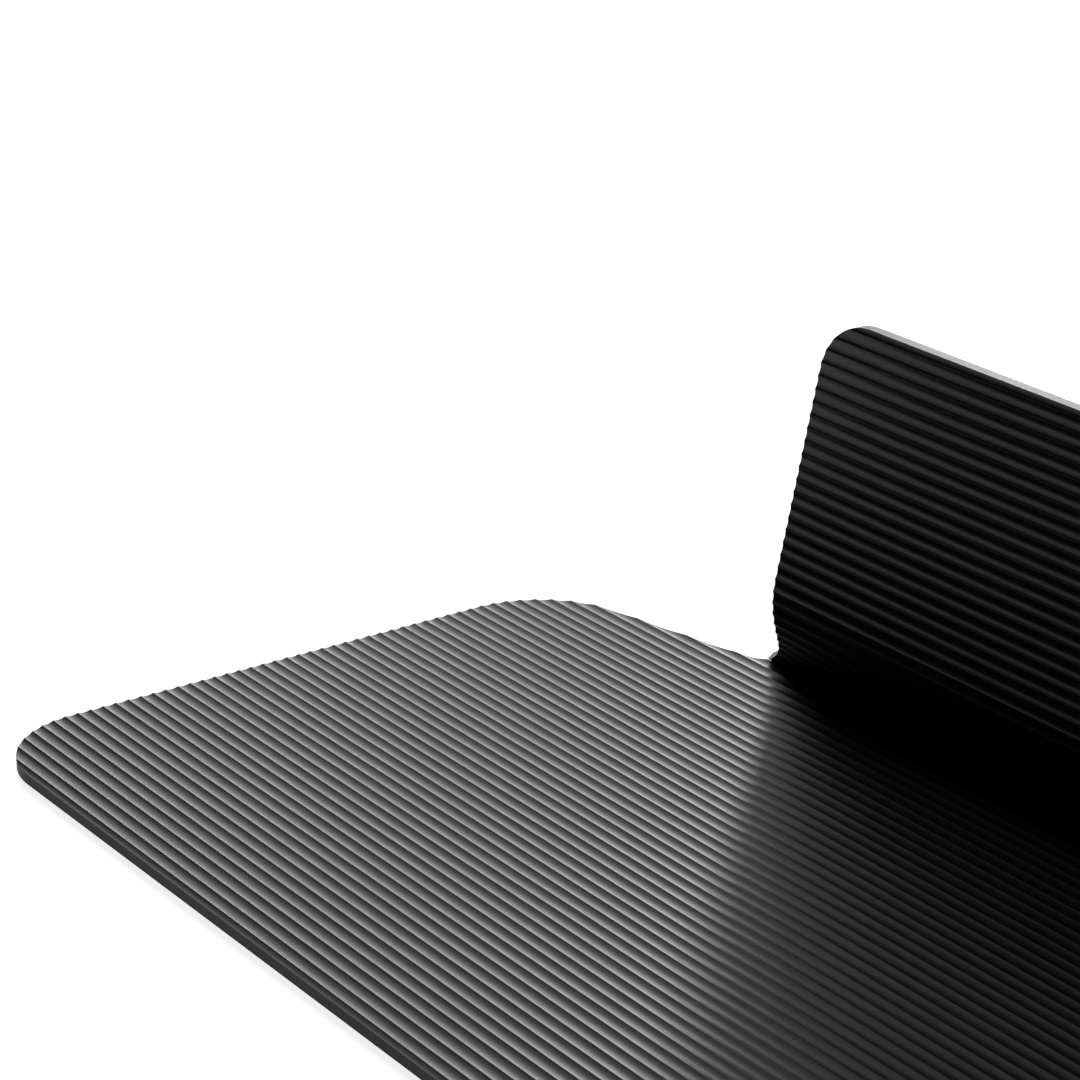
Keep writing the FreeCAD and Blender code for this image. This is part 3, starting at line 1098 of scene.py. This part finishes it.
@dataclass
class HingePart(SmallPart):
    """A part whose Z lies along the hinge, away from the middle."""

    def places(self) -> list[Matrix]:
        """Sets the part on the hinge's axis, at the middle of its CAD node.

        Returns:
            One matrix for each place.
        """
        axis = node_middle("hinge_pin")
        middle = node_middle(self.node)
        side = -1 if middle.x < axis.x - MM else 1
        place = Matrix.Translation((middle.x, axis.y, axis.z))
        return [place @ Matrix.Rotation(side * math.pi / 2, 4, "Y")]


@dataclass
class HingePin(HingePart):
    """Plain pin with eased ends."""

    ease: float = 0.3 * MM

    def model(self, mesh: BMesh) -> None:
        """Models the pin about the origin.

        Args:
            mesh: The empty mesh.
        """
        radius = self.span().z / 2
        half = self.span().x / 2
        self.turn(mesh, [(0.0, -half), (radius, -half), (radius, half), (0.0, half)])


@dataclass
class EndCap(HingePart):
    """Nylon plug: a stub in the knuckle's bore and a disc over its end."""

    stub: float = 2.25 * MM
    stub_length: float = 2.0 * MM
    ease: float = 0.2 * MM
    ease_steps: int = 3

    def model(self, mesh: BMesh) -> None:
        """Models the cap about the origin, with its disc outward.

        Args:
            mesh: The empty mesh.
        """
        disc = self.span().z / 2
        half = self.span().x / 2
        face = self.stub_length - half
        stub = [(0.0, -half), (self.stub, -half), (self.stub, face)]
        self.turn(mesh, stub + [(disc, face), (disc, half), (0.0, half)])


@dataclass
class FrictionSleeve(HingePart):
    """Spring sleeve with a slit along its top."""

    bore: float = 1.55 * MM
    wall: float = 0.7 * MM
    slit: float = 0.8 * MM
    ease: float = 0.05 * MM

    def model(self, mesh: BMesh) -> None:
        """Models the sleeve about the origin.

        Args:
            mesh: The empty mesh.
        """
        outer = self.bore + self.wall
        half = self.span().x / 2
        opening = math.asin(self.slit / (self.bore + outer))
        side = 1 if node_middle(self.node).x > 0 else -1
        section = [(self.bore, -half), (outer, -half), (outer, half), (self.bore, half)]
        ring = [mesh.verts.new((radius, 0, height)) for radius, height in section]
        edges = [mesh.edges.new((ring[index - 1], vertex)) for index, vertex in enumerate(ring)]
        start = Matrix.Rotation(opening + (math.pi if side > 0 else 0.0), 4, "Z")
        bmesh.ops.transform(mesh, matrix=start, verts=ring)
        turn = math.tau - 2 * opening
        bmesh.ops.spin(
            mesh, geom=ring + edges, cent=(0, 0, 0), axis=(0, 0, 1), angle=turn, steps=self.turn_steps
        )
        bmesh.ops.holes_fill(mesh, edges=[edge for edge in mesh.edges if edge.is_boundary], sides=0)


@dataclass
class PinLock(SmallPart):
    """Grub screw with a socket, through the knuckle's wall against the pin."""

    radius: float = 1.0 * MM
    reach: float = 1.5 * MM
    length: float = 1.5397 * MM
    lean: float = 36.0
    socket_rim: float = 0.75 * MM
    socket_flats: float = 0.9 * MM
    socket_depth: float = 0.8 * MM
    ease: float = 0.05 * MM

    def model(self, mesh: BMesh) -> None:
        """Models the grub screw, with its inner end at the origin and its outer end up Z.

        Args:
            mesh: The empty mesh.
        """
        outer = [(self.radius, self.length), (self.socket_rim, self.length)]
        self.turn(mesh, [(0.0, 0.0), (self.radius, 0.0), *outer])
        self.sink_socket(mesh, self.socket_flats, self.length, self.length - self.socket_depth)

    def places(self) -> list[Matrix]:
        """Points the screw away from the fluted face, square to the flange.

        Returns:
            One matrix for each place.
        """
        axis = node_middle("hinge_pin")
        rise = math.radians(self.lean)
        outward = Vector((0, math.cos(rise), math.sin(rise)))
        base = Vector((node_middle(self.node).x, axis.y, axis.z)) + outward * self.reach
        return [stand(base, outward)]


def small_parts() -> list[SmallPart]:
    """Lists every small part that is modelled anew.

    Returns:
        The parts, ready to build.
    """
    steel = ("fastener_steel", PLATED_STEEL)
    rubber = ("rubber", RUBBER)
    parts: list[SmallPart] = [
        LeafScrews("platform_screws", "platform_leaf_screws", "platform", *steel),
        LeafScrews("panel_screws", "panel_leaf_screws", "panel", *steel, plate=BackPanel()),
        FootScrews("foot_fixings", "foot_screws", "platform", *steel),
        FootWashers("foot_seats", "foot_washers", "platform", *steel),
        HingePin("pin", "hinge_pin", "panel", "hinge_steel", HINGE_STEEL),
        GripStrip("front_strip", "front_grip_strip", "platform", *rubber),
        GripStrip("middle_strip", "middle_grip_strip", "platform", *rubber),
        TipStrip("tip_strip", "tip_grip_strip", "panel", *rubber),
    ]
    for side in ("left", "right"):
        parts += [
            Foot(f"{side}_foot", f"foot_{side}", "platform", *rubber),
            EndCap(f"{side}_cap", f"hinge_end_cap_{side}", "platform", "cap_plastic", NYLON),
            FrictionSleeve(
                f"{side}_sleeve", f"friction_sleeve_{side}", "platform", "sleeve_spring", SPRING_STEEL
            ),
            PinLock(f"{side}_lock", f"pin_lock_{side}", "panel", *steel),
        ]
    return parts


# ---- studio ----
@dataclass(frozen=True)
class SoftBox:
    """A soft box aimed at the board from a compass direction, 0 along +Y and 90 along +X."""

    name: str
    azimuth: float
    elevation: float
    width: float
    height: float
    radiance: float
    distance: float = 3.0

    def place(self) -> Vector:
        """Finds where the soft box hangs.

        Returns:
            The place.
        """
        turn = math.radians(self.azimuth)
        rise = math.radians(self.elevation)
        level = math.cos(rise)
        return Vector((math.sin(turn) * level, math.cos(turn) * level, math.sin(rise))) * self.distance


@dataclass
class Studio:
    """Floor, soft lights, background and camera."""

    floor_size: float = 6.0
    floor_color: float = 0.8
    floor_roughness: float = 0.9
    floor_lift: float = 0.85
    floor_glow: float = 0.25
    boxes: tuple[SoftBox, ...] = (
        SoftBox("strip_low", -45.0, elevation=2.5, width=0.3, height=0.262, radiance=20.6),
        SoftBox("strip_middle", -45.0, elevation=8.5, width=0.3, height=0.367, radiance=2.96),
        SoftBox("strip_upper", -45.0, elevation=17.0, width=0.3, height=0.525, radiance=12.7),
        SoftBox("strip_high", -45.0, elevation=28.5, width=0.4, height=0.684, radiance=7.45),
        SoftBox("back_low", -64.0, elevation=3.0, width=1.2, height=0.3145, radiance=7.7),
        SoftBox("back_middle", -64.0, elevation=10.0, width=1.2, height=0.42, radiance=1.7),
        SoftBox("back_upper", -64.0, elevation=20.0, width=1.4, height=0.63, radiance=2.74),
        SoftBox("back_high", -58.0, elevation=40.0, width=2.4, height=1.5, radiance=0.384),
        SoftBox("top_box", -20.0, elevation=78.0, width=2.0, height=2.0, radiance=0.76, distance=2.4),
        SoftBox("overhead_box", 180.0, elevation=86.0, width=1.0, height=1.0, radiance=2.1, distance=2.4),
    )
    camera_place: tuple[float, float, float] = (0.9438, -0.7340, 0.6152)
    camera_pitch: float = 21.11
    camera_yaw: float = -55.53
    camera_roll: float = -0.55
    lens: float = 119.1
    sensor: float = 36.0
    nearest: float = 0.01

    def build(self) -> None:
        """Builds everything round the object."""
        self.build_floor()
        self.build_world()
        self.build_lights()
        self.build_camera()

    def build_floor(self) -> None:
        """Lays a plain pale floor, lifted to white where the camera sees it."""
        mesh = bmesh.new()
        bmesh.ops.create_grid(mesh, x_segments=1, y_segments=1, size=self.floor_size)
        floor = to_object(mesh, "floor")
        material = bpy.data.materials.new("pale_floor")
        material.use_nodes = True
        tree = material.node_tree
        shader = tree.nodes["Principled BSDF"]
        shader.inputs["Base Color"].default_value = (*[self.floor_color] * 3, 1.0)
        shader.inputs["Roughness"].default_value = self.floor_roughness
        shader.inputs["Specular IOR Level"].default_value = 0.0
        shader.inputs["Emission Color"].default_value = (1.0, 1.0, 1.0, 1.0)
        rays = tree.nodes.new("ShaderNodeLightPath")
        lift = add_node(tree, "ShaderNodeMapRange", to_min=self.floor_glow, to_max=self.floor_lift)
        tree.links.new(rays.outputs["Is Camera Ray"], lift.inputs["Value"])
        tree.links.new(lift.outputs["Result"], shader.inputs["Emission Strength"])
        floor.data.materials.append(material)

    def build_world(self) -> None:
        """Shows white to the camera behind everything, and lights nothing."""
        world = bpy.data.worlds.new("studio")
        bpy.context.scene.world = world
        world.use_nodes = True
        tree = world.node_tree
        background = tree.nodes["Background"]
        background.inputs["Color"].default_value = (1.0, 1.0, 1.0, 1.0)
        rays = tree.nodes.new("ShaderNodeLightPath")
        tree.links.new(rays.outputs["Is Camera Ray"], background.inputs["Strength"])

    def build_lights(self) -> None:
        """Hangs the soft boxes."""
        for box in self.boxes:
            lamp = bpy.data.lights.new(box.name, "AREA")
            lamp.shape = "RECTANGLE"
            lamp.size = box.width
            lamp.size_y = box.height
            lamp.energy = box.radiance * math.pi * box.width * box.height
            place = bpy.data.objects.new(box.name, lamp)
            place.location = box.place()
            aim = -place.location
            place.rotation_euler = aim.to_track_quat("-Z", "Y").to_euler()
            place.visible_camera = False
            bpy.context.scene.collection.objects.link(place)

    def build_camera(self) -> None:
        """Sets the camera by its place, its pitch below the horizon, its yaw and its roll."""
        camera = bpy.data.cameras.new("camera")
        camera.lens = self.lens
        camera.sensor_width = self.sensor
        camera.clip_start = self.nearest
        pitch = math.radians(self.camera_pitch)
        yaw = math.radians(self.camera_yaw)
        roll = math.radians(self.camera_roll)
        run = math.cos(pitch)
        ahead = Vector((math.sin(yaw) * run, math.cos(yaw) * run, -math.sin(pitch)))
        level = ahead.cross(Z_AXIS).normalized()
        upright = level.cross(ahead)
        right = math.cos(roll) * level + math.sin(roll) * upright
        up = math.cos(roll) * upright - math.sin(roll) * level
        turn = Matrix((right, up, -ahead)).transposed().to_4x4()
        viewer = bpy.data.objects.new("camera", camera)
        viewer.matrix_world = Matrix.Translation(Vector(self.camera_place)) @ turn
        bpy.context.scene.collection.objects.link(viewer)
        bpy.context.scene.camera = viewer


def dress_nodes() -> None:
    """Gives every carried-over node its finish."""
    for name in ("platform_hinge_leaf", "panel_hinge_leaf"):
        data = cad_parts[name].data
        data.materials.clear()
        data.materials.append(HINGE_STEEL.material())
        LOG.info("dressed %s in %s", name, HINGE_STEEL.name)


def main() -> None:
    """Builds the studio and the board's pieces, and reports each one."""
    logging.basicConfig(level=logging.INFO, format="%(name)s: %(message)s")
    build_effect(Effect.GRAIN, detail=1.0, roughness=0.5, low=0.25, high=0.75)
    build_effect(Effect.HANDLING, detail=4.0, roughness=0.55, low=0.3, high=0.7)
    bpy.context.scene.view_settings.view_transform = "Standard"
    Studio().build()
    for part in (Platform(), BackPanel(), *small_parts()):
        piece = part.build()
        LOG.info("built %s with %d faces", piece.name, len(piece.data.polygons))
    dress_nodes()


if __name__ == "__main__":
    main()
